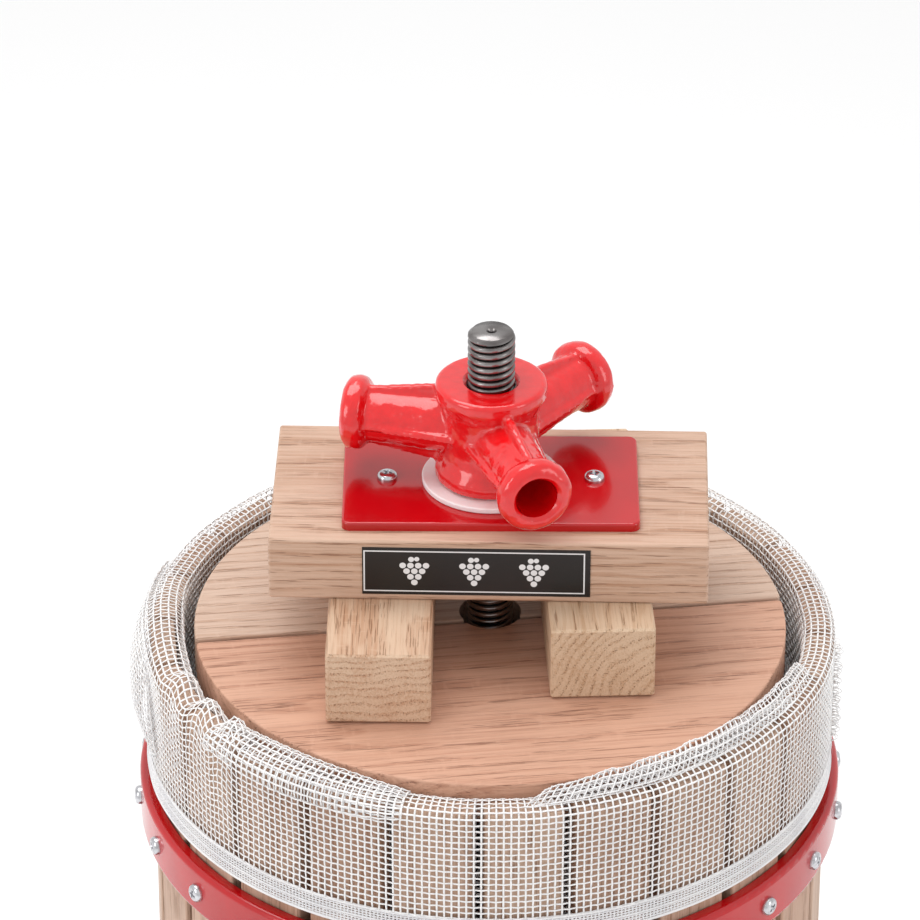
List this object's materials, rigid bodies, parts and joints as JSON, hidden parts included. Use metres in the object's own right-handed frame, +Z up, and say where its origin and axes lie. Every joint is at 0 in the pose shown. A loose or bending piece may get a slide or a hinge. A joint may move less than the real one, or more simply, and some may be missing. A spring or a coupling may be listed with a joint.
{
  "type": "basket wine press",
  "caption": "Basket press: slatted oak cage and mesh bag on a red tray with spout and legs, half-round plates, blocks and beam pressed down by a screw head.",
  "frame": {"origin": "on the spindle's axis at the level of the floor, the centre of the circle of foot holes", "axes": "+Z up along the spindle; -Y is the front, the way the spout points; +X to the right seen from the front"},
  "size_m": [0.5314, 0.6164, 0.7515],
  "materials": {
    "red_paint": "gloss enamel",
    "red_casting": "thick gloss enamel over a casting",
    "oak": "planed and oiled",
    "bag_mesh": "open woven mesh",
    "screw_steel": "oiled machined thread",
    "zinc_steel": "zinc plated",
    "chrome_screws": "bright plated",
    "nylon": "translucent satin",
    "label_black": "satin",
    "seal_rubber": "matte"
  },
  "bodies": {
    "base": {"base_tray": "red_paint", "spout": "red_paint", "anchor_plate": "red_paint", "leg_rear": "red_paint", "leg_front_right": "red_paint", "leg_front_left": "red_paint", "leg_bolts": "zinc_steel", "leg_nuts": "zinc_steel", "spindle": "screw_steel", "lower_washer": "zinc_steel", "lower_nut": "zinc_steel", "tray_seal": "seal_rubber", "upper_washer": "zinc_steel", "upper_nut": "zinc_steel"},
    "basket": {"stave_01": "oak", "stave_02": "oak", "stave_03": "oak", "stave_04": "oak", "stave_05": "oak", "stave_06": "oak", "stave_07": "oak", "stave_08": "oak", "stave_09": "oak", "stave_10": "oak", "stave_11": "oak", "stave_12": "oak", "stave_13": "oak", "stave_14": "oak", "stave_15": "oak", "stave_16": "oak", "stave_17": "oak", "stave_18": "oak", "stave_19": "oak", "stave_20": "oak", "stave_21": "oak", "stave_22": "oak", "stave_23": "oak", "stave_24": "oak", "lower_hoop": "red_paint", "upper_hoop": "red_paint", "lower_hoop_screws": "chrome_screws", "upper_hoop_screws": "chrome_screws"},
    "bag": {"press_bag": "bag_mesh", "bag_hem": "bag_mesh"},
    "front_plate": {"front_plate": "oak"},
    "rear_plate": {"rear_plate": "oak"},
    "blocks": {"block_left": "oak", "block_right": "oak"},
    "beam": {"crossbeam": "oak", "cap_plate": "red_paint", "cap_screws": "chrome_screws", "label_plate": "label_black"},
    "washer": {"thrust_washer": "nylon"},
    "head": {"press_head": "red_casting"}
  },
  "joints": [
    {"name": "basket_lift", "type": "slide", "parent": "base", "child": "basket", "axis": [0, 0, 1], "range_m": [0, 0.5]},
    {"name": "bag_lift", "type": "slide", "parent": "basket", "child": "bag", "axis": [0, 0, 1], "range_m": [0, 0.32]},
    {"name": "press_stroke", "type": "slide", "parent": "bag", "child": "front_plate", "axis": [0, 0, 1], "range_m": [-0.2, 0]},
    {"name": "rear_plate_lift", "type": "slide", "parent": "front_plate", "child": "rear_plate", "axis": [0, 0, 1], "range_m": [0, 0.21]},
    {"name": "blocks_lift", "type": "slide", "parent": "rear_plate", "child": "blocks", "axis": [0, 0, 1], "range_m": [0, 0.18]},
    {"name": "beam_lift", "type": "slide", "parent": "blocks", "child": "beam", "axis": [0, 0, 1], "range_m": [0, 0.14]},
    {"name": "washer_lift", "type": "slide", "parent": "beam", "child": "washer", "axis": [0, 0, 1], "range_m": [0, 0.11]},
    {"name": "head_turn", "type": "hinge", "parent": "washer", "child": "head", "pos_m": [0, 0, 0.6959], "axis": [0, 0, 1], "range_deg": [-18000, 0]}
  ],
  "couplings": [
    {"joint": "press_stroke", "follows": "head_turn", "m_per_rad": 0.00063662}
  ]
}
